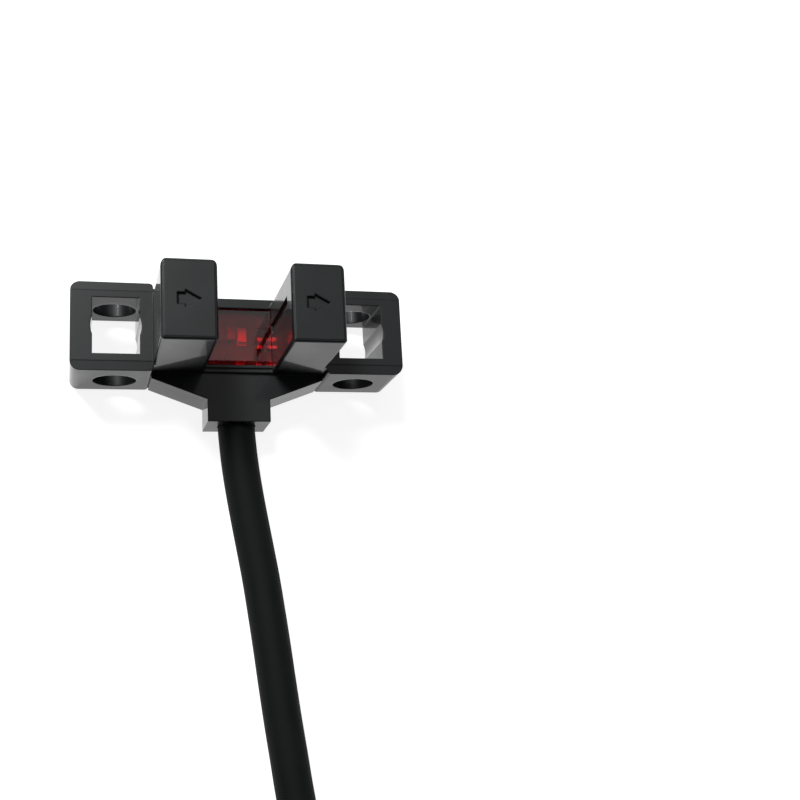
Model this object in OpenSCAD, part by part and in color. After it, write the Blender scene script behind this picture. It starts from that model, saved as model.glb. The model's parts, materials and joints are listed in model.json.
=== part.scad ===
// Fork sensor: a slot photoelectric sensor with two mounting ears, its board inside and its cable.
// X runs across the fork, Z from the back face to the arm tips, and the cable leaves along -Y.
// The origin lies on the back face, midway between the two mounting holes.

/* [Fork] */
// Width of the slot between the arms
gap_w = 5.76; // [5.5:0.02:8]
// Width of one arm
arm_w = 4.38; // [4:0.02:5]
// Depth of an arm, front to back
arm_d = 6.54; // [6.2:0.02:6.8]
// Height of the arm tips above the back face
arm_h = 14.25; // [13:0.25:18]
// Height of the fork's floor above the back face
floor_h = 4.5; // [4.4:0.05:5.2]
// Wall of the arms and of the housing's sides
wall = 0.62; // [0.5:0.02:0.7]
// Radius on the edges of an arm's tip
tip_r = 0.25; // [0.15:0.05:0.5]
// Radius on the upright edges at the back of an arm
arm_back_r = 0.65; // [0.2:0.05:0.8]
// Radius on the upright edges at the front of an arm
arm_front_r = 0.3; // [0.05:0.05:0.4]

/* [Slit] */
// Width of the groove that lets the beam through the thinned wall
slit_w = 0.8; // [0.3:0.02:1]
// Depth of the groove
slit_deep = 0.22; // [0.1:0.02:0.4]
// Distance from the tip down to the groove's end
slit_drop = 1.95; // [1.5:0.05:3]
// Distance of the groove from the arm's back face
slit_back = 2.62; // [2.3:0.02:3.2]
// Distance from the tip down to the beam
beam_drop = 3.05; // [2.6:0.05:4]

/* [Arrow recess] */
// Length of the arrow
arrow_len = 1.9; // [1.4:0.1:3]
// Length of its head
arrow_head_len = 1.28; // [0.6:0.01:1.38]
// Width of its head
arrow_head_w = 1.46; // [1.2:0.02:2.4]
// Width of its shaft
arrow_shaft_w = 0.98; // [0.5:0.02:1.1]
// Depth of the recess
arrow_deep = 0.25; // [0.05:0.05:0.4]
// Slope of its walls, from the face in to the floor
arrow_slope = 0.13; // [0.05:0.01:0.2]

/* [Ears] */
// Width over both ears
ear_span = 27.8; // [27:0.1:30]
// Depth of an ear, front to back
ear_d = 7.52; // [7.2:0.02:8]
// Height of an ear above the back face
ear_h = 6.57; // [6.2:0.05:8]
// Radius on the upright edges of an ear's end
ear_r = 0.8; // [0.3:0.1:1.2]
// Radius on the upright edges where an ear meets the fork
ear_root_r = 0.35; // [0.1:0.05:0.5]
// Width of the bevel along an ear's long edges
bevel_w = 0.78; // [0.3:0.02:1]
// Height of that bevel
bevel_h = 0.2; // [0.05:0.05:0.4]
// Distance of the mounting holes from the middle of an ear, towards the fork
hole_in = 0.33; // [0:0.01:0.4]
// Width of the rectangular hole through an ear
port_w = 3.8; // [3.6:0.02:4.2]
// Depth of the rectangular hole, front to back
port_d = 4.76; // [4.4:0.02:5.2]
// Diameter of the round clearance on the same axis
port_round_d = 4.1; // [4:0.02:4.6]
// Diameter of the cross hole
cross_d = 3.6; // [3:0.1:3.8]
// Height of the cross hole above the back face
cross_h = 3; // [2.6:0.1:3.4]

/* [Shoulders and boss] */
// Height of the shoulders and of the boss
plate_h = 4.2; // [4.2:0.05:4.5]
// Width over the shoulders where they leave the ears
shoulder_w = 14.58; // [14.54:0.02:15.2]
// Distance of the shoulders' outer ends in front of the hole line
shoulder_y = 3.79; // [3.7:0.01:3.9]
// Width of the cable boss
boss_w = 5.32; // [4.8:0.04:6]
// Distance of the boss's root in front of the hole line
boss_y = 5.54; // [5.4:0.01:5.8]
// Length of the boss in front of its root
boss_len = 1.92; // [1.4:0.02:3]

/* [Window] */
// Distance of the window's front edge from the hole line
pane_front = 2.6; // [2.3:0.02:2.7]
// Distance of the window's back edge from the hole line
pane_back = 2.45; // [2:0.05:2.5]
// Thickness of the rim that the window sits in
rim_t = 0.8; // [0.6:0.05:1]
// Depth of the window's face below the rim
pane_sunk = 0.1; // [0:0.02:0.2]
// Chamfer along the window's front edge
pane_chamfer = 0.36; // [0.1:0.02:0.4]
// Chamfer along its back edge
pane_chamfer_back = 0.14; // [0.05:0.01:0.2]
// Thickness of the window's flange
flange_t = 0.45; // [0.3:0.05:0.6]
// Lap of the flange under the arms' inner walls
flange_lap = 0.5; // [0.2:0.05:0.55]
// Width of the groove along the front rim
groove_w = 0.13; // [0.1:0.01:0.16]
// Depth of that groove
groove_deep = 0.12; // [0.05:0.01:0.3]

/* [Rear cover] */
// Thickness of the cover
cover_t = 0.5; // [0.4:0.05:0.55]
// Width of the ledge that the cover sits on
cover_lap = 0.3; // [0.2:0.05:0.4]
// Width of the cover's ribs
rib_w = 0.7; // [0.4:0.1:1]
// Length of the cover's ribs
rib_len = 3.2; // [2:0.1:4]

/* [Board] */
// Thickness of the circuit board
board_t = 0.5; // [0.4:0.02:0.52]
// Space between the board's edge and the housing
board_gap = 0.1; // [0.05:0.05:0.2]
// Diameter of a lead hole in the board
lead_hole_d = 0.66; // [0.6:0.02:0.8]

/* [Optics] */
// Thickness of the emitter and the receiver across the arm
eye_t = 1.9; // [1.5:0.1:2.2]
// Width of the emitter and the receiver, front to back
eye_w = 3.2; // [2.8:0.1:3.2]
// Height of the emitter and the receiver
eye_h = 3.6; // [3:0.1:4]
// Radius of the lens
lens_r = 0.9; // [0.6:0.05:1.1]
// Height of the lens above the case
lens_out = 0.6; // [0.3:0.05:0.7]
// Distance between the two leads
lead_pitch = 1.27; // [1.2:0.01:1.5]
// Width of a lead
lead_w = 0.4; // [0.3:0.02:0.44]
// Thickness of a lead
lead_t = 0.3; // [0.2:0.02:0.4]

/* [Chips] */
// Width of the indicator lamp
led_w = 0.8; // [0.6:0.1:0.9]
// Length of the indicator lamp
led_len = 1.6; // [1.2:0.1:1.7]
// Height of the indicator lamp
led_h = 0.6; // [0.4:0.05:0.8]
// Width of the control circuit's case
ic_w = 3; // [2.6:0.1:3]
// Depth of the control circuit's case
ic_d = 1.7; // [1.5:0.05:1.75]
// Width of a transistor's case
transistor_w = 2.9; // [2.6:0.1:3]
// Depth of a transistor's case
transistor_d = 1.3; // [1.2:0.05:1.35]
// Height of the control circuit and of the transistors
case_h = 1; // [0.8:0.05:1.2]
// Reach of a case's foot past its side
foot_out = 0.48; // [0.4:0.02:0.5]
// Width of a foot
foot_w = 0.4; // [0.3:0.02:0.5]
// Thickness of a foot
foot_t = 0.14; // [0.1:0.02:0.2]
// Length of the diode's case
diode_len = 1.7; // [1.5:0.1:1.8]
// Width of the diode's case
diode_w = 1.25; // [1:0.05:1.3]
// Height of the diode's case
diode_h = 0.9; // [0.7:0.05:1]
// Length of a chip resistor
resistor_len = 1; // [0.8:0.05:1.05]
// Width of a chip resistor
resistor_w = 0.5; // [0.4:0.05:0.6]
// Height of a chip resistor
resistor_h = 0.35; // [0.25:0.05:0.5]
// Length of a chip capacitor
capacitor_len = 1.25; // [1:0.05:1.3]
// Width of a chip capacitor
capacitor_w = 0.8; // [0.5:0.05:0.85]
// Height of a chip capacitor
capacitor_h = 0.7; // [0.5:0.05:0.8]

/* [Cable] */
// Diameter of the cable
cable_d = 3.2; // [2.9:0.1:3.2]
// Diameter of an insulated core
core_d = 0.9; // [0.7:0.05:0.9]
// Wall of the crimp ring on the cable
clamp_t = 0.18; // [0.15:0.01:0.22]
// Length of the crimp ring
clamp_len = 1.4; // [1:0.1:1.4]
// Depth that the cable reaches in behind the boss's root
cable_in = 0.63; // [0.5:0.01:0.7]
// Length of the stripped leads at the far end
lead_len = 30; // [20:1:36]
// Length of a lead's tinned tip
tip_len = 5; // [3:0.5:7]
// Diameter of a lead's tinned tip
tip_d = 0.45; // [0.3:0.05:0.6]

/* [Hidden] */
$fn = 48;

// Clearance between pieces that fit together, and the overrun of every cut
fit = 0.03;
cut = wall;

// Fork
arm_mid = gap_w / 2 + arm_w / 2;
side = gap_w / 2 + arm_w;
beam_h = arm_h - beam_drop;
beam_y = arm_d / 2 - slit_back;

// Ears
ear_len = ear_span / 2 - side;
hole_x = side + ear_len / 2 - hole_in;

// Hollow inside the housing
hollow_side = side - wall;
hollow_back = arm_d / 2 - wall;
rim_under = floor_h - rim_t;
rim_wall_share = 0.43;
rim_front = arm_d / 2 - (arm_d / 2 - pane_front) * rim_wall_share;
plate_under = plate_h - wall;
hollow_front = boss_y - wall;

// Shoulders, drawn by the slope of their front edge
slope = (boss_y - shoulder_y) / (shoulder_w / 2 - boss_w / 2);
slant = sqrt(1 + slope * slope);
function shoulder_at(x, inset) = inset * slant - shoulder_y - slope * (shoulder_w / 2 - x);
function meets_front(inset, front) = shoulder_w / 2 - (front + inset * slant - shoulder_y) / slope;
function half_plan(inset, front) = [
    [side - inset, arm_d / 2 - inset],
    [side - inset, shoulder_at(side - inset, inset)],
    [meets_front(inset, front), -front]];
function plan(inset, front) = let (h = half_plan(inset, front))
    concat(h, [for (i = [len(h) - 1:-1:0]) [-h[i].x, h[i].y]]);

// Cable and board heights
cable_h = plate_h / 2;
core_off = core_d / 2 + fit / 2;
board_top = cable_h - core_off - core_d / 2 - fit;
board_z = board_top - board_t;
board_inset = wall + board_gap;
board_front = hollow_front - cable_in;
board_back = arm_d / 2 - board_inset;
board_side = side - board_inset;
cable_start = boss_y - cable_in;
clamp_d = cable_d + 2 * clamp_t + 2 * fit;
boss_end = boss_y + boss_len;
clamp_y = boss_y - wall + cover_lap + fit;

// Places on the board, as shares of its half width and of its reach behind and in front;
// a capacitor's third value is its turn in degrees
function on_board(share) = [board_side * share.x,
    (share.y < 0 ? board_front : board_back) * share.y, board_top];
led_share = [0.105, 0.27];
ic_share = [-0.375, 0.42];
transistor_shares = [[-0.54, -0.37], [0.54, -0.37]];
diode_share = [0, -0.37];
resistor_shares = [[0.345, 0.05], [0.47, 0.05], [0.595, 0.05], [0.72, 0.05]];
capacitor_shares = [[-0.045, 0.36, 90], [0.39, 0.72, 0], [0.635, 0.72, 0]];
pad_shares = [[-0.085, -0.64], [0.085, -0.64], [-0.25, -0.64], [0.25, -0.64]];
pad_r_share = 0.46;
end_cap_share = 0.22;
cap_lip_share = 0.06;

// Emitter and receiver
eye_x = side - wall - fit - eye_t / 2;
lead_foot = board_z - fit;
joint_r_share = 0.43;
joint_h_share = 0.6;
joint_r = lead_pitch * joint_r_share;

// Route of the cable's centre from the boss along the surface, clear of the coil's end
ROUTE = [[0, -7.5, 2.1], [0.1, -9, 2.05], [0.31, -11, 1.95], [0.6, -13, 1.82], [1.02, -15.5, 1.7],
    [1.46, -18, 1.63], [1.88, -20.5, 1.6], [2.23, -23, 1.6], [2.62, -26, 1.6], [2.98, -29, 1.6],
    [3.36, -32, 1.6], [3.78, -35, 1.6], [4.2, -38, 1.6], [4.64, -40.5, 1.6], [5.2, -42.7, 1.6],
    [5.71, -44.15, 1.6]];
cable_sides = 8;

// Coil beside the end of the route; the bend of its inner turn is a count of cable diameters
inner_bend = 4.5;
coil_rows = 3;
coil_r = cable_d * (inner_bend + (coil_rows - 1) / 2);
coil_band = cable_d * coil_rows;
coil_reach = coil_r + coil_band / 2 + fit;
coil_turned = 234.5;
cable_stop = ROUTE[len(ROUTE) - 1];
coil_at = [cable_stop.x + coil_reach * cos(coil_turned), cable_stop.y + coil_reach * sin(coil_turned), 0];
end_turn = [-54, -4];
end_h = coil_band + cable_d / 2;

// Far end: each lead leaves the jacket in a bundle of four and spreads over the coil
core_places = [[-1, -1], [1, -1], [-1, 1], [1, 1]];
lead_spread_shares = [-1.5, 0.5, -0.5, 1.5];
lead_steps = 12;
tip_steps = 2;
function ease(t) = let (u = min(1, max(0, t))) u * u * (3 - 2 * u);
function lead_angle(run) = end_turn[0] - run / coil_r * 180 / PI;
function lead_heading(run) = [sin(lead_angle(run)), -cos(lead_angle(run)), 0];
function drop(i, s) = core_places[i].y > 0 ? s * s * s : s;
function lead_point(i, run) = let (
    s = ease(run / (lead_len / 3)),
    r = coil_r + core_off * core_places[i].x * (1 - s) + cable_d / 2 * lead_spread_shares[i] * s,
    from = core_off * core_places[i].y,
    h = end_h + from + (core_d / 2 - cable_d / 2 - from) * drop(i, s),
    a = lead_angle(run))
    coil_at + [r * cos(a), r * sin(a), h];

// Cores inside: from the jacket's end to the pads
core_steps = 8;
pad_r = core_d * pad_r_share;
core_run = board_front * pad_shares[0].y + cable_start - pad_r;
function core_point(i, t) = let (s = ease(t), low = drop(i, s))
    [core_off * core_places[i].x * (1 - s) + on_board(pad_shares[i]).x * s, -cable_start + core_run * t,
    cable_h + core_off * core_places[i].y * (1 - low) - core_off * low];

// Tube swept along a path; its end rings may lie in planes that face another way
function unit(v) = v / norm(v);
function heading(path, i) = unit(path[min(i + 1, len(path) - 1)] - path[max(i - 1, 0)]);
function ring(at, along, r, sides, facing) = let (u = unit(cross(along, [0, 0, 1])), v = cross(u, along))
    [for (k = [0:sides - 1]) let (a = 360 * (k + 0.5) / sides, q = r * (u * cos(a) + v * sin(a)))
        at + q - along * ((q * facing) / (along * facing))];
module sweep(path, d, sides, starts, ends) {
    last = len(path) - 1;
    rings = [for (i = [0:last]) let (t = heading(path, i))
        each ring(path[i], t, d / 2, sides, i == 0 ? starts : i == last ? ends : t)];
    walls = [for (i = [0:last - 1], k = [0:sides - 1]) let (n = (k + 1) % sides, a = i * sides)
        each [[a + k, a + n, a + sides + n], [a + k, a + sides + n, a + sides + k]]];
    polyhedron(rings, concat([[for (k = [sides - 1:-1:0]) k]], walls,
        [[for (k = [0:sides - 1]) last * sides + k]]));
}

module both_sides() {
    children();
    mirror([1, 0, 0]) children();
}

module rounded(w, d, r) {
    square([w - 2 * r, d], center = true);
    square([w, d - 2 * r], center = true);
    for (x = [-1, 1], y = [-1, 1])
        translate([x * (w / 2 - r), y * (d / 2 - r)]) circle(r);
}

// Profile in Y and Z, drawn out along X
module along_x(len) {
    rotate([90, 0, 90]) linear_extrude(len, center = true) children();
}

// Profile in X and Z, drawn out along Y
module along_y(len) {
    rotate([90, 0, 0]) linear_extrude(len, center = true) children();
}

module block(from, to) {
    translate(from) cube(to - from);
}

module arm() {
    translate([arm_mid, 0, 0]) intersection() {
        linear_extrude(arm_h) {
            rounded(arm_w, arm_d, arm_back_r);
            translate([0, -arm_d / 4]) rounded(arm_w, arm_d / 2, arm_front_r);
        }
        along_x(arm_w) translate([0, arm_h / 2]) {
            rounded(arm_d, arm_h, tip_r);
            translate([0, -arm_h / 4]) square([arm_d, arm_h / 2], center = true);
        }
        along_y(arm_d) translate([0, arm_h / 2]) {
            rounded(arm_w, arm_h, tip_r);
            translate([0, -arm_h / 4]) square([arm_w, arm_h / 2], center = true);
        }
    }
}

module ear() {
    intersection() {
        linear_extrude(ear_h) {
            translate([side + ear_len / 2, 0]) rounded(ear_len, ear_d, ear_r);
            translate([side + ear_len / 4, 0]) rounded(ear_len / 2, ear_d, ear_root_r);
            translate([hollow_side, -arm_d / 2]) square([ear_len / 2, arm_d]);
        }
        translate([ear_span / 4, 0, 0]) along_x(ear_span / 2) polygon([[-ear_d / 2, 0], [ear_d / 2, 0],
            [ear_d / 2, ear_h - bevel_h], [ear_d / 2 - bevel_w, ear_h],
            [bevel_w - ear_d / 2, ear_h], [-ear_d / 2, ear_h - bevel_h]]);
    }
}

module ear_holes() {
    translate([hole_x, 0, 0]) {
        translate([-port_w / 2, -port_d / 2, -cut]) cube([port_w, port_d, ear_h + 2 * cut]);
        translate([0, 0, -cut]) cylinder(h = ear_h + 2 * cut, d = port_round_d);
        translate([0, 0, cross_h]) rotate([90, 0, 0])
            cylinder(h = ear_d + 2 * cut, d = cross_d, center = true);
    }
}

module shoulders() {
    linear_extrude(plate_h) polygon([
        [shoulder_w / 2, 0], [shoulder_w / 2, -shoulder_y], [boss_w / 2, -boss_y],
        [boss_w / 2, -boss_end], [-boss_w / 2, -boss_end], [-boss_w / 2, -boss_y],
        [-shoulder_w / 2, -shoulder_y], [-shoulder_w / 2, 0]]);
}

module arm_hollow() {
    block([side - arm_w + wall, -hollow_back, rim_under - cut], [hollow_side, hollow_back, arm_h - wall]);
}

module slit() {
    block([gap_w / 2 - cut, beam_y - slit_w / 2, floor_h - pane_sunk],
        [gap_w / 2 + slit_deep, beam_y + slit_w / 2, arm_h - slit_drop]);
}

module arrow_outline() {
    head_x = arrow_len / 2 - arrow_head_len;
    polygon([[-arrow_len / 2, -arrow_shaft_w / 2], [head_x, -arrow_shaft_w / 2], [head_x, -arrow_head_w / 2],
        [arrow_len / 2, 0], [head_x, arrow_head_w / 2], [head_x, arrow_shaft_w / 2],
        [-arrow_len / 2, arrow_shaft_w / 2]]);
}

// Recess below the tip's face, narrower at its floor
module arrow() {
    linear_extrude(cut) arrow_outline();
    mirror([0, 0, 1]) linear_extrude(arrow_deep,
        scale = [1 - 2 * arrow_slope / arrow_len, 1 - 2 * arrow_slope / arrow_head_w]) arrow_outline();
}

module hollow() {
    linear_extrude(plate_under) polygon(plan(wall, hollow_front));
    block([-hollow_side, -rim_front, 0], [hollow_side, hollow_back, rim_under]);
    translate([0, 0, -cut]) linear_extrude(cut + cover_t)
        polygon(plan(wall - cover_lap, boss_y - wall + cover_lap));
}

module cable_way() {
    translate([0, -boss_end - cut, cable_h]) rotate([-90, 0, 0])
        cylinder(h = boss_end, d = cable_d + 2 * fit);
    translate([0, -clamp_y - clamp_len - fit, cable_h]) rotate([-90, 0, 0])
        cylinder(h = clamp_y + clamp_len - hollow_front + cut, d = clamp_d + 2 * fit);
}

module housing() {
    color("#1e2022") difference() {
        union() {
            both_sides() {
                arm();
                ear();
            }
            block([-side, -arm_d / 2, 0], [side, arm_d / 2, floor_h]);
            shoulders();
        }
        both_sides() {
            ear_holes();
            arm_hollow();
            slit();
        }
        for (x = [-arm_mid, arm_mid]) translate([x, 0, arm_h]) arrow();
        hollow();
        cable_way();
        block([-gap_w / 2, -pane_front, rim_under - cut], [gap_w / 2, pane_back, floor_h + cut]);
        block([-gap_w / 2, -(pane_front + arm_d / 2) / 2 - groove_w / 2, floor_h - groove_deep],
            [gap_w / 2, -(pane_front + arm_d / 2) / 2 + groove_w / 2, floor_h + cut]);
    }
}

module indicator_window() {
    top = floor_h - pane_sunk;
    color("#7a1016", 0.8) union() {
        along_x(gap_w - 2 * fit) polygon([[-pane_front + fit, rim_under - flange_t],
            [-pane_front + fit, top - pane_chamfer], [-pane_front + fit + pane_chamfer, top],
            [pane_back - fit - pane_chamfer_back, top], [pane_back - fit, top - pane_chamfer_back],
            [pane_back - fit, rim_under - flange_t]]);
        block([-gap_w / 2 - flange_lap, -rim_front + fit, rim_under - flange_t],
            [gap_w / 2 + flange_lap, hollow_back - fit, rim_under - fit]);
    }
}

module rear_cover() {
    color("#26282a") union() {
        linear_extrude(cover_t - fit) polygon(plan(wall - cover_lap + fit, boss_y - wall + cover_lap - fit));
        both_sides() block([board_side / 2, -rib_len / 2, 0], [board_side / 2 + rib_w, rib_len / 2, board_z]);
    }
}

module at_leads() {
    for (x = [-eye_x, eye_x], y = [-1, 1])
        translate([x, beam_y + y * lead_pitch / 2, 0]) children();
}

module circuit_board() {
    color("#1f5a34") difference() {
        translate([0, 0, board_z]) linear_extrude(board_t) polygon(plan(board_inset, board_front));
        at_leads() translate([0, 0, board_z - cut]) cylinder(h = board_t + 2 * cut, d = lead_hole_d);
    }
}

// Moulded case with a lens towards the slot, standing against the arm's outer wall
module eye() {
    translate([eye_x, beam_y, beam_h]) {
        cube([eye_t, eye_w, eye_h], center = true);
        intersection() {
            translate([lens_r - eye_t / 2 - lens_out, 0, 0]) sphere(lens_r);
            translate([-eye_t, 0, 0]) cube([2 * eye_t, eye_w, eye_h], center = true);
        }
    }
}

module eye_leads() {
    for (y = [-1, 1]) block(
        [eye_x - lead_t / 2, beam_y + y * lead_pitch / 2 - lead_w / 2, lead_foot],
        [eye_x + lead_t / 2, beam_y + y * lead_pitch / 2 + lead_w / 2, beam_h - eye_h / 2]);
}

module emitter() {
    color("#6f86a8") mirror([1, 0, 0]) eye();
}

module receiver() {
    color("#17181b") eye();
}

module emitter_leads() {
    color("#b9bcc0") mirror([1, 0, 0]) eye_leads();
}

module receiver_leads() {
    color("#b9bcc0") eye_leads();
}

module indicator_led() {
    color("#ff4030") translate(on_board(led_share)) {
        translate([0, 0, led_h / 5]) cube([led_w, led_len, 2 * led_h / 5], center = true);
        translate([0, 0, led_h / 2]) cube([led_w * 0.9, led_len * 0.68, led_h], center = true);
    }
}

// Case on bent feet; each foot stands on the board and enters the case's side
module cased(w, d, feet) {
    rise = case_h * 0.1;
    translate([-w / 2, -d / 2, rise]) cube([w, d, case_h - rise]);
    for (f = feet) scale([1, f.y, 1]) translate([f.x * w - foot_w / 2, 0, 0]) rotate([90, 0, 90])
        linear_extrude(foot_w) polygon([
            [d / 2 + foot_out, 0], [d / 2 + foot_out, foot_t],
            [d / 2 + foot_out / 2, foot_t], [d / 2 + foot_out / 2, case_h / 2 + foot_t],
            [d / 2 - foot_t, case_h / 2 + foot_t], [d / 2 - foot_t, case_h / 2],
            [d / 2 + foot_out / 2 - foot_t, case_h / 2], [d / 2 + foot_out / 2 - foot_t, 0]]);
}

module control_ic() {
    feet_shares = [for (x = [-0.32, 0, 0.32], y = [-1, 1]) [x, y]];
    color("#2b2c2e") translate(on_board(ic_share)) cased(ic_w, ic_d, feet_shares);
}

module output_transistors() {
    feet_shares = [[-0.33, -1], [0.33, -1], [0, 1]];
    color("#2b2c2e") for (s = transistor_shares)
        translate(on_board(s)) cased(transistor_w, transistor_d, feet_shares);
}

module protection_diode() {
    color("#2b2c2e") translate(on_board(diode_share)) {
        translate([-diode_len / 2, -diode_w / 2, 0]) cube([diode_len, diode_w, diode_h]);
        translate([-diode_len / 2 - foot_out, -foot_w / 2, 0])
            cube([diode_len + 2 * foot_out, foot_w, foot_t]);
    }
}

// Chip with raised caps on both ends, lying along X
module chip(len, w, h) {
    lip = h * cap_lip_share;
    translate([-len / 2, lip - w / 2, 0]) cube([len, w - 2 * lip, h - lip]);
    for (x = [-len / 2, len / 2 - len * end_cap_share])
        translate([x, -w / 2, 0]) cube([len * end_cap_share, w, h]);
}

module chip_resistors() {
    color("#d8d5cc") for (s = resistor_shares)
        translate(on_board(s)) rotate([0, 0, 90]) chip(resistor_len, resistor_w, resistor_h);
}

module chip_capacitors() {
    color("#b08d62") for (s = capacitor_shares)
        translate(on_board(s)) rotate([0, 0, s.z]) chip(capacitor_len, capacitor_w, capacitor_h);
}

module solder_joints() {
    joint_h = joint_r * joint_h_share;
    color("#c9ccd0") {
        difference() {
            at_leads() translate([0, 0, board_top]) cylinder(h = joint_h, r1 = joint_r, r2 = joint_r / 2);
            at_leads() cube([lead_t + fit, lead_w + fit, 2 * beam_h], center = true);
        }
        for (s = pad_shares) translate(on_board(s)) cylinder(h = core_d / 2, r1 = pad_r, r2 = pad_r / 2);
    }
}

module core(i) {
    sweep([for (k = [0:core_steps]) core_point(i, k / core_steps)], core_d, cable_sides,
        [0, 1, 0], [0, 1, 0]);
}

module core_brown() {
    color("#6b3d22") core(0);
}

module core_black() {
    color("#202020") core(1);
}

module core_white() {
    color("#e6e4de") core(2);
}

module core_blue() {
    color("#2450a0") core(3);
}

module cable_clamp() {
    color("#b8903a") translate([0, -clamp_y - clamp_len, cable_h]) rotate([-90, 0, 0]) difference() {
        cylinder(h = clamp_len, d = clamp_d);
        translate([0, 0, -cut]) cylinder(h = clamp_len + 2 * cut, d = cable_d + 2 * fit);
    }
}

module cable() {
    away = [cos(coil_turned), sin(coil_turned), 0];
    color("#1a1c1d") sweep(concat([[0, -cable_start, cable_h]], ROUTE), cable_d, cable_sides,
        [0, -1, 0], away);
}

module cable_coil() {
    color("#1a1c1d") translate(coil_at) rotate_extrude($fn = 96)
        translate([coil_r, coil_band / 2]) rounded(coil_band, coil_band, cable_d / 2);
}

module cable_end() {
    color("#1a1c1d") translate(coil_at + [0, 0, end_h]) rotate([0, 0, end_turn[0]])
        rotate_extrude(angle = end_turn[1] - end_turn[0], $fn = 96)
            translate([coil_r, 0]) circle(d = cable_d);
}

module lead(i) {
    insulated = lead_len - tip_len;
    sweep([for (k = [0:lead_steps]) lead_point(i, insulated * k / lead_steps)], core_d, cable_sides,
        lead_heading(0), lead_heading(insulated));
}

module lead_brown() {
    color("#6b3d22") lead(0);
}

module lead_black() {
    color("#202020") lead(1);
}

module lead_white() {
    color("#e6e4de") lead(2);
}

module lead_blue() {
    color("#2450a0") lead(3);
}

module lead_tips() {
    color("#c9ccd0") for (i = [0:3])
        sweep([for (k = [0:tip_steps]) lead_point(i, lead_len - tip_len + tip_len * k / tip_steps)],
            tip_d, cable_sides, lead_heading(lead_len - tip_len), lead_heading(lead_len));
}

housing();
indicator_window();
rear_cover();
circuit_board();
emitter();
receiver();
emitter_leads();
receiver_leads();
indicator_led();
control_ic();
output_transistors();
protection_diode();
chip_resistors();
chip_capacitors();
solder_joints();
core_brown();
core_black();
core_white();
core_blue();
cable_clamp();
cable();
cable_coil();
cable_end();
lead_brown();
lead_black();
lead_white();
lead_blue();
lead_tips();
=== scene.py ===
import json
from math import atan2, cos, degrees, pi, radians, sin

import bpy
from mathutils import Matrix, Vector


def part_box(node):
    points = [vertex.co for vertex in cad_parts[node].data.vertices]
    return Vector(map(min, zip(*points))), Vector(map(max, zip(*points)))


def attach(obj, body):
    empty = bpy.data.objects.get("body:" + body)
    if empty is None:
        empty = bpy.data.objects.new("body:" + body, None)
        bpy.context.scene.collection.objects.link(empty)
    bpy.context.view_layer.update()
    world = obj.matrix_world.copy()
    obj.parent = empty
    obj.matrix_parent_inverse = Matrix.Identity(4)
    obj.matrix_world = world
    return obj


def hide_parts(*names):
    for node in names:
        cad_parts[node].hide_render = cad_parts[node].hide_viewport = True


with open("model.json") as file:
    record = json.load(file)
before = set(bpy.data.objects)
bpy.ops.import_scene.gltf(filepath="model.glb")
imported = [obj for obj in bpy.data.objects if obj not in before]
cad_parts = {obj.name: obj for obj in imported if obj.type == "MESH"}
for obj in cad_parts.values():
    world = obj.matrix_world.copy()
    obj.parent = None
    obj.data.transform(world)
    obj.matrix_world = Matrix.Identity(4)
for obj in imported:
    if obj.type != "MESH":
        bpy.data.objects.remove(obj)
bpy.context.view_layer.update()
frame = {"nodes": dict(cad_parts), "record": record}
nodes = frame["nodes"]

MM = 0.001


# Camera, fitted to the sensor's edges in the photo

CAMERA_AT = (-0.0141606, -0.0292410, 0.1023303)
CAMERA_RIGHT = (0.9627771, -0.0533542, 0.2649785)
CAMERA_UP = (-0.0101923, 0.9724615, 0.2328408)
CAMERA_LENS = 53.646
CAMERA_SENSOR = 36
CAMERA_CLIP = (5 * MM, 10)


def make_camera():
    data = bpy.data.cameras.new("camera")
    data.sensor_width = CAMERA_SENSOR
    data.lens = CAMERA_LENS
    data.clip_start, data.clip_end = CAMERA_CLIP
    camera = bpy.data.objects.new("camera", data)
    bpy.context.scene.collection.objects.link(camera)
    right, up = Vector(CAMERA_RIGHT).normalized(), Vector(CAMERA_UP).normalized()
    turn = Matrix((right, up, right.cross(up))).transposed()
    camera.matrix_world = Matrix.Translation(CAMERA_AT) @ turn.to_4x4()
    bpy.context.scene.camera = camera


make_camera()


# Node helpers

NOISE_RANGE = (0.3, 0.7)
RAMP_STOPS = (0.35, 0.65)
DRIFT_DETAIL = 4
GRAIN_DETAIL = 2
BEVEL_SAMPLES = 6
MATERIALS = {}


def new_material(name):
    """Adds an empty material and keeps it in MATERIALS under its name."""
    mat = bpy.data.materials.new(name)
    mat.use_nodes = True
    mat.node_tree.nodes.clear()
    MATERIALS[name] = mat
    return mat


def feed(tree, socket, value):
    """Links another node's output to the socket, or sets the socket to a plain value."""
    if hasattr(value, "is_output"):
        tree.links.new(value, socket)
    else:
        socket.default_value = value


def add(tree, kind, **values):
    """Adds a node; a value names an input socket, or one of the node's own properties."""
    node = tree.nodes.new(kind)
    for key, value in values.items():
        socket = key.replace("_", " ").lower()
        found = [s for s in node.inputs if s.name.lower() == socket]
        if found:
            feed(tree, found[0], value)
        else:
            setattr(node, key, value)
    return node


def calculate(tree, operation, *operands):
    """Adds a math node for outputs or numbers and gives its result."""
    node = add(tree, "ShaderNodeMath", operation=operation)
    for socket, operand in zip(node.inputs, operands):
        feed(tree, socket, operand)
    return node.outputs[0]


def coordinates(tree):
    return add(tree, "ShaderNodeTexCoord").outputs["Object"]


def axis(tree, vector, name):
    return add(tree, "ShaderNodeSeparateXYZ", Vector=vector).outputs[name]


def noise(tree, size, detail):
    """Noise whose features are about `size` metres across."""
    texture = add(tree, "ShaderNodeTexNoise", Vector=coordinates(tree), Scale=1 / size, Detail=detail)
    return texture.outputs["Fac"]


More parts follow.
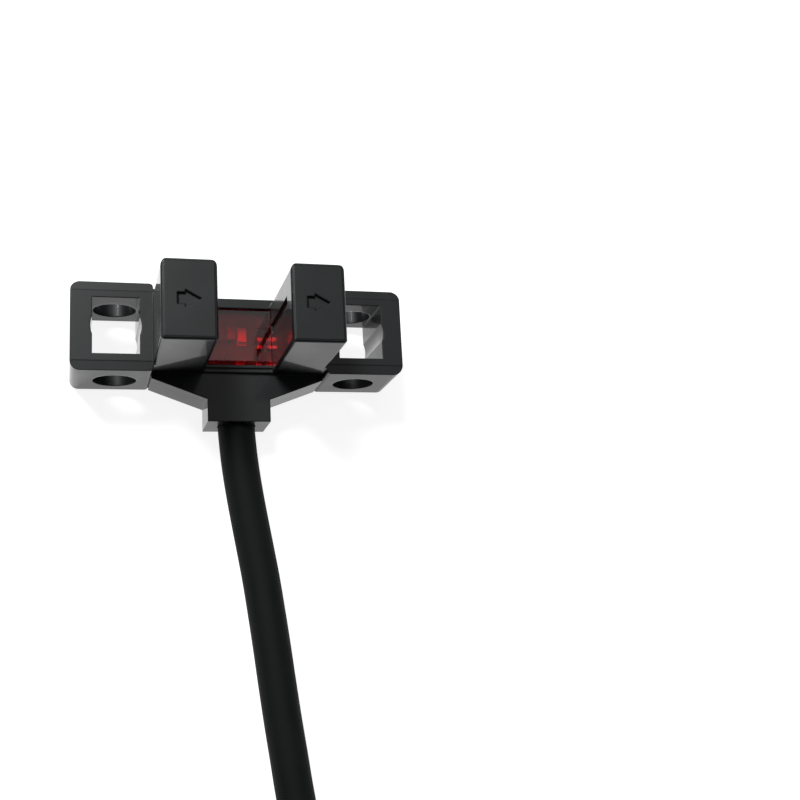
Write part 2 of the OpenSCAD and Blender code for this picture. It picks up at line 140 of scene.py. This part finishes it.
def map_range(tree, value, source, target, **more):
    """Turns a value's range `source` into the range `target`."""
    node = add(tree, "ShaderNodeMapRange", Value=value, From_Min=source[0], From_Max=source[1],
               To_Min=target[0], To_Max=target[1], **more)
    return node.outputs["Result"]


def blend_colors(tree, fac, first, second):
    ramp = add(tree, "ShaderNodeValToRGB", Fac=fac)
    for element, stop, color in zip(ramp.color_ramp.elements, RAMP_STOPS, (first, second)):
        element.position = stop
        element.color = (*color, 1)
    return ramp.outputs["Color"]


def principled(mat):
    return next(node for node in mat.node_tree.nodes if node.type == "BSDF_PRINCIPLED")


# Shading of the housing's slopes

# The share of a slight slope that is kept and how much sharper its crease is, each over a range of the
# normal's Z, and the height from which both act
SLOPE_KEPT = 0.15
SLOPE_RANGE = (0.87, 0.93)
CREASE_MORE = 3.4
CREASE_RANGE = (0.972, 0.98)
LEVEL_FROM = 4.5 * MM

# How far front and back faces seem to lean back, as a slope
LEAN = 0.055


def levelled(tree, normal):
    """Shades slight slopes on top almost as if they lay level, with a sharper crease where they start, and
    front and back faces as if they leaned back a little."""
    x, y, z = add(tree, "ShaderNodeSeparateXYZ", Vector=normal).outputs
    slope = map_range(tree, z, SLOPE_RANGE, (1.0, SLOPE_KEPT))
    crease = map_range(tree, z, CREASE_RANGE, (0.0, CREASE_MORE))
    above = calculate(tree, "GREATER_THAN", axis(tree, coordinates(tree), "Z"), LEVEL_FROM)
    kept = add(tree, "ShaderNodeMix", data_type="FLOAT", Factor=above, A=1.0,
               B=calculate(tree, "ADD", slope, crease)).outputs[0]
    shaded = add(tree, "ShaderNodeCombineXYZ", X=calculate(tree, "MULTIPLY", x, kept),
                 Y=calculate(tree, "MULTIPLY", y, kept), Z=calculate(tree, "MULTIPLY_ADD", y, -LEAN, z))
    unit = add(tree, "ShaderNodeVectorMath", operation="NORMALIZE", Vector=shaded.outputs[0])
    return unit.outputs["Vector"]


def surface(tree, shader, grain, height, edge, level=False):
    """Gives the shader its grain and its rounded-looking edges, and joins it to the output."""
    bump = add(tree, "ShaderNodeBump", Height=noise(tree, grain, GRAIN_DETAIL), Distance=height, Strength=1.0)
    if edge:
        soft = add(tree, "ShaderNodeBevel", Radius=edge, samples=BEVEL_SAMPLES).outputs["Normal"]
        feed(tree, bump.inputs["Normal"], levelled(tree, soft) if level else soft)
    feed(tree, shader.inputs["Normal"], bump.outputs["Normal"])
    add(tree, "ShaderNodeOutputMaterial", Surface=shader.outputs[0])


# Kinds of finish

SOLID_IOR = 1.5
CLEAR_PATCH = 2 * MM
CLEAR_DETAIL = 3
CLEAR_GRAIN = 0.4 * MM
CLEAR_GRAIN_HEIGHT = 0.004 * MM
CLEAR_DARKER = 0.9


def plain(name, first, second, patch, rough, grain, height, edge=0.0, metallic=0.0, specular=0.5,
          level=False):
    """A solid finish: colour and roughness drift over `patch` metres, with a bump of `grain` metres that is
    `height` metres high, and edges that look rounded by `edge` metres."""
    mat = new_material(name)
    tree = mat.node_tree
    drift = noise(tree, patch, DRIFT_DETAIL)
    shader = add(tree, "ShaderNodeBsdfPrincipled", Base_Color=blend_colors(tree, drift, first, second),
                 Roughness=map_range(tree, drift, NOISE_RANGE, rough), Metallic=metallic, IOR=SOLID_IOR,
                 Specular_IOR_Level=specular)
    surface(tree, shader, grain, height, edge, level)
    return mat


def clear(name, color, rough, ior, edge):
    """A tinted moulding that shows what lies behind it."""
    mat = new_material(name)
    tree = mat.node_tree
    drift = noise(tree, CLEAR_PATCH, CLEAR_DETAIL)
    darker = tuple(c * CLEAR_DARKER for c in color)
    shader = add(tree, "ShaderNodeBsdfPrincipled", Base_Color=blend_colors(tree, drift, color, darker),
                 Roughness=map_range(tree, drift, NOISE_RANGE, rough), IOR=ior, Transmission_Weight=1.0)
    surface(tree, shader, CLEAR_GRAIN, CLEAR_GRAIN_HEIGHT, edge)


def add_skin(mat, weight, rough, ior):
    """Adds a thin smooth skin over the finish, for the mirror-like glints at a low angle."""
    inputs = principled(mat).inputs
    inputs["Coat Weight"].default_value = weight
    inputs["Coat Roughness"].default_value = rough
    inputs["Coat IOR"].default_value = ior
    feed(mat.node_tree, inputs["Coat Normal"], inputs["Normal"].links[0].from_socket)


# Painted glow: the finish gives off light of its own, though nothing powers it
def add_painted_glow(mat, color, strength):
    inputs = principled(mat).inputs
    inputs["Emission Color"].default_value = (*color, 1)
    inputs["Emission Strength"].default_value = strength


# Sockets of a mix node that is set to colours
MIX_FIRST, MIX_SECOND, MIX_RESULT = 6, 7, 2


def add_metal_ends(mat, at, half, metal):
    """Gives the finish bright metal ends, beyond `half` metres either side of `at` along Y."""
    tree = mat.node_tree
    inputs = principled(mat).inputs
    off = calculate(tree, "SUBTRACT", axis(tree, coordinates(tree), "Y"), at)
    ends = calculate(tree, "GREATER_THAN", calculate(tree, "ABSOLUTE", off), half)
    mix = add(tree, "ShaderNodeMix", data_type="RGBA", Factor=ends)
    feed(tree, mix.inputs[MIX_FIRST], inputs["Base Color"].links[0].from_socket)
    feed(tree, mix.inputs[MIX_SECOND], (*metal, 1))
    feed(tree, inputs["Base Color"], mix.outputs[MIX_RESULT])
    feed(tree, inputs["Metallic"], ends)


# Finishes, named as the record's material slots

housing = plain("housing_black", (0.0045, 0.0054, 0.006), (0.006, 0.0072, 0.008), patch=3 * MM,
                rough=(0.39, 0.46), grain=0.12 * MM, height=0.0012 * MM, edge=0.14 * MM, specular=0.22,
                level=True)
add_skin(housing, weight=1.0, rough=0.06, ior=1.2)

clear("window_red", (0.5, 0.02, 0.024), rough=(0.03, 0.06), ior=1.58, edge=0.05 * MM)

plain("cover_black", (0.013, 0.014, 0.015), (0.018, 0.019, 0.02), patch=2 * MM, rough=(0.42, 0.55),
      grain=0.1 * MM, height=0.006 * MM, edge=0.08 * MM)

plain("board_green", (0.012, 0.07, 0.03), (0.018, 0.1, 0.045), patch=0.8 * MM, rough=(0.3, 0.45),
      grain=0.1 * MM, height=0.004 * MM)

plain("emitter_tinted", (0.07, 0.12, 0.24), (0.09, 0.15, 0.28), patch=1 * MM, rough=(0.12, 0.2),
      grain=0.2 * MM, height=0.002 * MM)

plain("receiver_black", (0.008, 0.006, 0.012), (0.014, 0.01, 0.018), patch=1 * MM, rough=(0.12, 0.2),
      grain=0.2 * MM, height=0.002 * MM)

plain("tinned_metal", (0.5, 0.51, 0.52), (0.64, 0.65, 0.66), patch=0.6 * MM, rough=(0.22, 0.4),
      grain=0.06 * MM, height=0.004 * MM, metallic=1.0)

plain("solder", (0.56, 0.57, 0.58), (0.7, 0.7, 0.71), patch=0.4 * MM, rough=(0.12, 0.3),
      grain=0.1 * MM, height=0.006 * MM, metallic=1.0)

# The LED is not lit: its faint red glow is painted light, standing in for the light that reaches it through the
# window
lamp_with_painted_glow = plain("lamp", (0.5, 0.025, 0.018), (0.6, 0.04, 0.025), patch=0.4 * MM, rough=(0.3, 0.4),
                  grain=0.1 * MM, height=0.002 * MM)
add_painted_glow(lamp_with_painted_glow, (1.0, 0.05, 0.04), strength=0.02)

plain("chip_case", (0.014, 0.014, 0.015), (0.022, 0.022, 0.023), patch=0.5 * MM, rough=(0.5, 0.65),
      grain=0.05 * MM, height=0.004 * MM)

RESISTOR_BODY_SHARE = 0.4
resistors_low, resistors_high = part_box("chip_resistors")
resistor_at = (resistors_low.y + resistors_high.y) / 2
resistor_body = RESISTOR_BODY_SHARE * (resistors_high.y - resistors_low.y)
resistor = plain("resistor_ceramic", (0.05, 0.05, 0.052), (0.08, 0.08, 0.082), patch=0.3 * MM,
                 rough=(0.25, 0.4), grain=0.06 * MM, height=0.003 * MM)
add_metal_ends(resistor, resistor_at, resistor_body / 2, (0.7, 0.7, 0.7))

plain("capacitor_ceramic", (0.085, 0.055, 0.03), (0.12, 0.078, 0.042), patch=0.3 * MM, rough=(0.4, 0.55),
      grain=0.06 * MM, height=0.003 * MM)

for name, first, second in (("core_brown", (0.085, 0.032, 0.014), (0.115, 0.045, 0.02)),
                            ("core_black", (0.008, 0.008, 0.008), (0.014, 0.014, 0.014)),
                            ("core_white", (0.68, 0.66, 0.6), (0.78, 0.76, 0.71)),
                            ("core_blue", (0.012, 0.05, 0.24), (0.02, 0.075, 0.33))):
    plain(name, first, second, patch=1.5 * MM, rough=(0.38, 0.5), grain=0.2 * MM, height=0.004 * MM)

plain("crimp_brass", (0.5, 0.33, 0.09), (0.62, 0.43, 0.14), patch=1 * MM, rough=(0.25, 0.4),
      grain=0.08 * MM, height=0.004 * MM, metallic=1.0)

plain("cable_jacket", (0.0042, 0.0053, 0.0051), (0.0062, 0.0076, 0.0073), patch=5 * MM, rough=(0.6, 0.72),
      grain=0.16 * MM, height=0.008 * MM, specular=0.12)


def finish(obj, slot):
    obj.data.materials.clear()
    obj.data.materials.append(MATERIALS[slot])


for part in frame["record"]["subparts"]:
    finish(nodes[part["node"]], part["material_slot"])

# Light passes the window, so that the pieces behind it are lit
nodes["indicator_window"].visible_shadow = False


# Cable: the photo's stretch, a round coil for the rest, and the far end on top of the coil

JACKET_D = 0.0032
JACKET_SIDES = 24
CURVE_STEPS = 6
JACKET_START = (0, -0.00491, 0.0021)
ROUTE = [
    (0, -0.0075, 0.0021), (0.0001, -0.009, 0.00205), (0.00031, -0.011, 0.00195),
    (0.0006, -0.013, 0.00182), (0.00102, -0.0155, 0.0017), (0.00146, -0.018, 0.00163),
    (0.00188, -0.0205, 0.0016), (0.00223, -0.023, 0.0016), (0.00262, -0.026, 0.0016),
    (0.00298, -0.029, 0.0016), (0.00336, -0.032, 0.0016), (0.00378, -0.035, 0.0016),
    (0.0042, -0.038, 0.0016), (0.00464, -0.0405, 0.0016), (0.0052, -0.0427, 0.0016),
    (0.00571, -0.04415, 0.0016),
]

# Angles round the coil, in degrees: between two points, over a step to the next row, by which a rise leads,
# and of the last stretch's start and end
TURN_STEP = 15
CROSS_OVER = 130
LEAD_ANGLE = 40
LAST_FROM = -4
LAST_TO = -54
ROWS = 3

coil_low, coil_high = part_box("cable_coil")
coil_at = (coil_low + coil_high) / 2
coil_r = (coil_high.x - coil_low.x) / 2 - JACKET_D * ROWS / 2
end_h = coil_high.z + JACKET_D / 2


def ease(t):
    """Goes from 0 to 1 with a soft start and end, and stays there outside."""
    t = min(1, max(0, t))
    return t * t * (3 - 2 * t)


def on_coil(angle, radius, height):
    a = radians(angle)
    return Vector((coil_at.x + radius * cos(a), coil_at.y + radius * sin(a), height))


def join_arc():
    """Turns left from the route's end until it touches the coil's outer row; gives points and that angle."""
    end, before = Vector(ROUTE[-1]), Vector(ROUTE[-2])
    left = Vector((before.y - end.y, end.x - before.x, 0)).normalized()
    offset = Vector((end.x - coil_at.x, end.y - coil_at.y, 0))
    outer = coil_r + JACKET_D
    radius = (offset.length_squared - outer ** 2) / (2 * (outer - offset.dot(left)))
    centre = end + radius * left
    start, touch = -left, Vector((coil_at.x, coil_at.y, end.z)) - centre
    start_angle, touch_angle = (degrees(atan2(v.y, v.x)) for v in (start, touch))
    span = (touch_angle - start_angle) % 360
    steps = max(2, round(span / TURN_STEP))
    turned = [radians(start_angle + span * k / steps) for k in range(1, steps)]
    return [centre + radius * Vector((cos(a), sin(a), 0)) for a in turned], start_angle + span - 180


def coil_turns(first_angle):
    """Nine turns: out to in, in to out, out to in, each row a jacket's width from the next.
    Each turn ends with a step to the next row or level. A rise starts ahead of the steps before it, and
    the steps after it ahead of the rise, so that no turn meets its neighbour. Gives the points and the last
    angle."""
    inward = [coil_r + JACKET_D, coil_r, coil_r - JACKET_D]
    rows = [(r, level) for level in range(ROWS) for r in (inward if level % 2 == 0 else inward[::-1])]
    rows.append((inward[-1], ROWS))
    points, turned, ends = [], 0, 0
    for turn in range(len(rows) - 1):
        (r, level), (next_r, next_level) = rows[turn], rows[turn + 1]
        rises, risen = next_level != level, turn and level != rows[turn - 1][1]
        ends += 360 - LEAD_ANGLE * (bool(rises) + bool(risen))
        while turned < ends:
            t = ease((turned - ends + CROSS_OVER) / CROSS_OVER)
            height = JACKET_D * (level + (next_level - level) * t + 0.5)
            points.append(on_coil(first_angle - turned, r + (next_r - r) * t, height))
            turned += TURN_STEP
    return points, first_angle - turned


def coil_end(first_angle):
    """From the inner row out to the middle one, on top of the coil, then on to the jacket's end."""
    span = (first_angle - LAST_FROM) % 360
    if span < CROSS_OVER:
        span += 360
    steps = round(span / TURN_STEP)
    rise = [on_coil(first_angle - span * k / steps, coil_r - JACKET_D * (1 - ease(k / steps)), end_h)
            for k in range(steps)]
    reach = LAST_FROM - LAST_TO
    steps = round(reach / TURN_STEP)
    return rise + [on_coil(LAST_FROM - reach * k / steps, coil_r, end_h) for k in range(steps + 1)]


def tube_curve(name, points, diameter, sides):
    data = bpy.data.curves.new(name, "CURVE")
    data.dimensions = "3D"
    data.bevel_depth = diameter / 2
    data.bevel_resolution = sides // 4
    data.use_fill_caps = True
    data.resolution_u = CURVE_STEPS
    spline = data.splines.new("BEZIER")
    spline.bezier_points.add(len(points) - 1)
    for point, place in zip(spline.bezier_points, points):
        point.co = place
        point.handle_left_type = point.handle_right_type = "AUTO"
    obj = bpy.data.objects.new(name, data)
    bpy.context.scene.collection.objects.link(obj)
    return obj


joint, first_angle = join_arc()
turns, last_angle = coil_turns(first_angle)
jacket_path = [Vector(JACKET_START), *map(Vector, ROUTE), *joint, *turns, *coil_end(last_angle)]
jacket = tube_curve("cable_jacket", jacket_path, JACKET_D, JACKET_SIDES)
finish(jacket, "cable_jacket")
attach(jacket, "root")
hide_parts("cable", "cable_coil", "cable_end")


# Stripped leads and their tips, from the jacket's end along the coil's top

CORE_D = 0.0009
CORE_GAP = 0.03 * MM
CORE_SIDES = 16
TIP_D = 0.00045
LEAD_LEN = 0.03
LEAD_STEPS = 12
TIP_LEN = 0.005
TIP_STEPS = 16
DROP_LEN = LEAD_LEN / 3
CORE_OFF = (CORE_D + CORE_GAP) / 2
STRANDS = 7
STRANDS_ACROSS = 3.1
STRAND_R = TIP_D / STRANDS_ACROSS / 2
STRAND_SIDES = 8
TWIST_TURNS = 2.2

# Slot, node, side and height in the jacket, and the place across the coil's top in jacket radii
LEADS = [
    ("core_brown", "lead_brown", -1, -1, -0.78),
    ("core_black", "lead_black", 1, -1, 0.58),
    ("core_white", "lead_white", -1, 1, -0.1),
    ("core_blue", "lead_blue", 1, 1, 1.5),
]


def lead_point(across, up, share, run):
    """The lead's middle, `run` metres from the jacket's end. The upper leads come down later than the lower."""
    s = ease(run / DROP_LEN)
    drop = s ** 3 if up > 0 else s
    r = coil_r + CORE_OFF * across * (1 - s) + JACKET_D / 2 * share * s
    h = end_h + CORE_OFF * up + (CORE_D / 2 - JACKET_D / 2 - CORE_OFF * up) * drop
    return on_coil(LAST_TO - degrees(run / coil_r), r, h)


def lead_path(place, start, end, steps):
    return [lead_point(*place, start + (end - start) * k / steps) for k in range(steps + 1)]


def strands(name, paths):
    """Twisted strands along each path, one in the middle and the others round it, as one mesh."""
    verts, faces = [], []
    ring = [2 * pi * k / STRAND_SIDES for k in range(STRAND_SIDES)]
    for path in paths:
        last = len(path) - 1
        for strand in range(STRANDS):
            base = len(verts)
            for i, at in enumerate(path):
                along = (path[min(i + 1, last)] - path[max(i - 1, 0)]).normalized()
                side = along.cross(Vector((0, 0, 1))).normalized()
                up = side.cross(along)
                a = 2 * pi * (strand / (STRANDS - 1) + TWIST_TURNS * i / last)
                centre = at + (TIP_D / 2 - STRAND_R) * (side * cos(a) + up * sin(a)) if strand else at
                verts += [centre + STRAND_R * (side * cos(b) + up * sin(b)) for b in ring]
            for row in range(base, base + last * STRAND_SIDES, STRAND_SIDES):
                for k in range(STRAND_SIDES):
                    n = (k + 1) % STRAND_SIDES
                    above = row + STRAND_SIDES
                    faces.append((row + k, row + n, above + n, above + k))
            faces.append(tuple(reversed(range(base, base + STRAND_SIDES))))
            faces.append(tuple(range(len(verts) - STRAND_SIDES, len(verts))))
    mesh = bpy.data.meshes.new(name)
    mesh.from_pydata([tuple(v) for v in verts], [], faces)
    mesh.shade_smooth()
    obj = bpy.data.objects.new(name, mesh)
    bpy.context.scene.collection.objects.link(obj)
    return obj


for slot, node, *place in LEADS:
    wire_path = lead_path(place, 0, LEAD_LEN - TIP_LEN, LEAD_STEPS)
    wire = tube_curve(node + "_wire", wire_path, CORE_D, CORE_SIDES)
    finish(wire, slot)
    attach(wire, "root")
    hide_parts(node)

tip_paths = [lead_path(place, LEAD_LEN - TIP_LEN, LEAD_LEN, TIP_STEPS) for _, _, *place in LEADS]
tips = strands("lead_tip_strands", tip_paths)
finish(tips, "tinned_metal")
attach(tips, "root")
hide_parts("lead_tips")


# Floor, light and background

FLOOR_SIZE = 4
FLOOR_COLOR = (0.4, 0.4, 0.4, 1)
FLOOR_SEEN = 0.88
FLOOR_MIRRORED = 0.8
FLOOR_RANGE = (0.12, 0.5)
WHITE = (1, 1, 1, 1)
ROOM_STRENGTH = 0.06


def seen_straight(tree, path):
    """Gives 1 for rays from the camera or through a clear piece."""
    return calculate(tree, "MAXIMUM", path["Is Camera Ray"], path["Is Transmission Ray"])


def make_floor():
    """A matt floor. The camera and clear pieces see it nearly white by the object and white further off, and
    glossy pieces see it a little darker."""
    bpy.ops.mesh.primitive_plane_add(size=FLOOR_SIZE, location=(0, 0, 0))
    floor = bpy.context.object
    floor.name = "floor"
    mat = new_material("floor_white")
    tree = mat.node_tree
    path = add(tree, "ShaderNodeLightPath").outputs
    away = add(tree, "ShaderNodeVectorMath", operation="LENGTH", Vector=coordinates(tree)).outputs["Value"]
    bright = map_range(tree, away, FLOOR_RANGE, (FLOOR_SEEN, 1.0), interpolation_type="SMOOTHSTEP")
    direct = calculate(tree, "MULTIPLY", seen_straight(tree, path), bright)
    strength = calculate(tree, "MULTIPLY_ADD", path["Is Glossy Ray"], FLOOR_MIRRORED, direct)
    both = add(tree, "ShaderNodeAddShader")
    feed(tree, both.inputs[0], add(tree, "ShaderNodeBsdfDiffuse", Color=FLOOR_COLOR).outputs[0])
    feed(tree, both.inputs[1], add(tree, "ShaderNodeEmission", Color=WHITE, Strength=strength).outputs[0])
    add(tree, "ShaderNodeOutputMaterial", Surface=both.outputs[0])
    floor.data.materials.append(mat)


def make_world():
    """A dim room that the camera and clear pieces see as white."""
    world = bpy.data.worlds.new("world")
    world.use_nodes = True
    tree = world.node_tree
    tree.nodes.clear()
    path = add(tree, "ShaderNodeLightPath").outputs
    mix = add(tree, "ShaderNodeMixShader", Fac=seen_straight(tree, path))
    room = add(tree, "ShaderNodeBackground", Color=WHITE, Strength=ROOM_STRENGTH)
    white = add(tree, "ShaderNodeBackground", Color=WHITE, Strength=1.0)
    feed(tree, mix.inputs[1], room.outputs[0])
    feed(tree, mix.inputs[2], white.outputs[0])
    add(tree, "ShaderNodeOutputWorld", Surface=mix.outputs[0])
    bpy.context.scene.world = world


def make_lamp(name, at, side, radiance):
    """A square area lamp that points at the origin and whose face has the given radiance."""
    data = bpy.data.lights.new(name, "AREA")
    data.size = side
    data.energy = radiance * pi * side ** 2
    lamp = bpy.data.objects.new(name, data)
    bpy.context.scene.collection.objects.link(lamp)
    lamp.location = at
    lamp.rotation_mode = "QUATERNION"
    lamp.rotation_quaternion = (-Vector(at)).to_track_quat("-Z", "Y")


make_floor()
make_world()
make_lamp("key_light", (-0.109, 0.168, 0.287), side=0.1, radiance=45)
make_lamp("fill_light", (0.034, 0.127, 0.325), side=0.28, radiance=0.68)

bpy.context.scene.view_settings.view_transform = "Standard"
